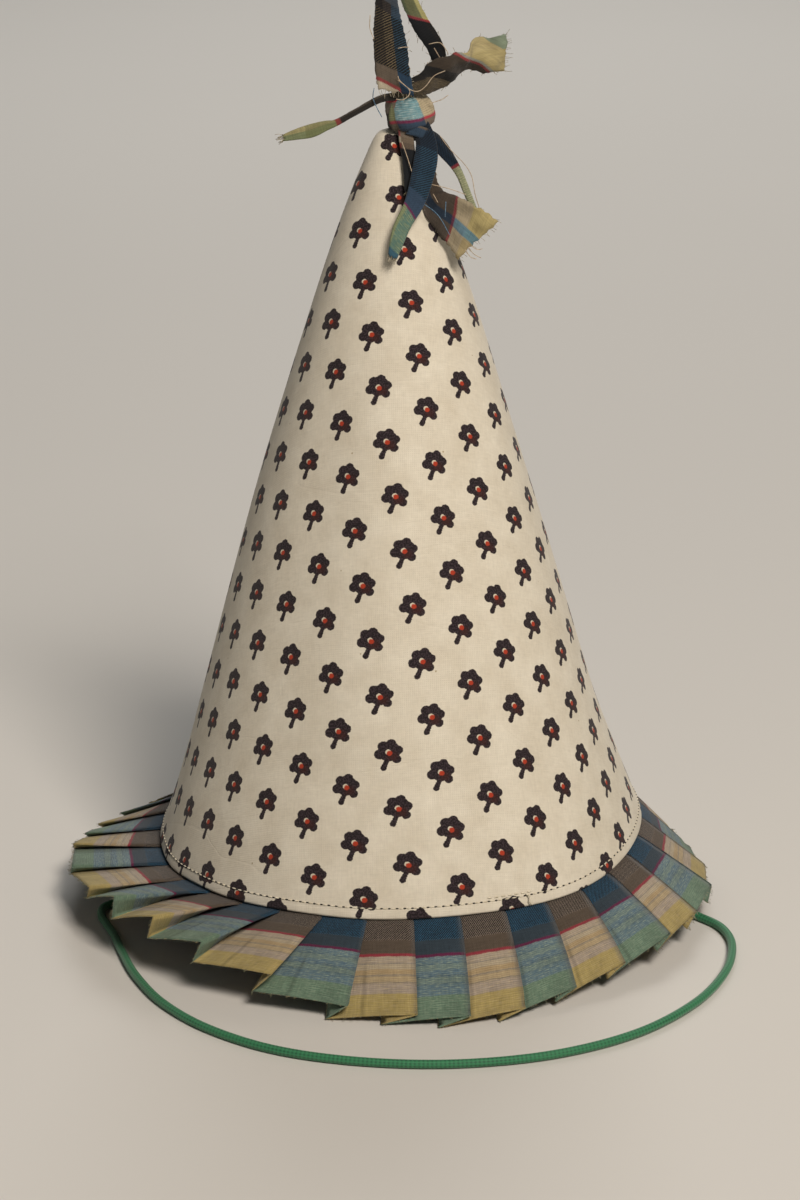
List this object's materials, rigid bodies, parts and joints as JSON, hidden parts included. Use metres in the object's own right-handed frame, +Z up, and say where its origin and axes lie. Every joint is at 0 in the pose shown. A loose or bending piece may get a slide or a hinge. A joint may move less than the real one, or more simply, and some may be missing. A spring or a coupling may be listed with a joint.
{
  "type": "party hat",
  "caption": "Child's cloth party hat: a tall printed cotton cone with a knife-pleated plaid ruffle, a tassel of torn plaid strips on its tip, and an elastic chin cord.",
  "frame": {"origin": "On the surface that the hat stands on, under the middle of its outline seen from above.", "axes": "+Z up the cone towards the tassel, -Y towards the front, where the chin cord lies, and +X to the right seen from the front."},
  "size_m": [0.1762, 0.2012, 0.2501],
  "materials": {
    "printed_cotton": "matte",
    "plaid_ruffle": "matte",
    "torn_plaid": "matte",
    "elastic_cord": "satin"
  },
  "bodies": {
    "root": {"crown_cone": "printed_cotton", "ruffle": "plaid_ruffle", "tassel": "torn_plaid", "chin_elastic": "elastic_cord"}
  },
  "joints": []
}
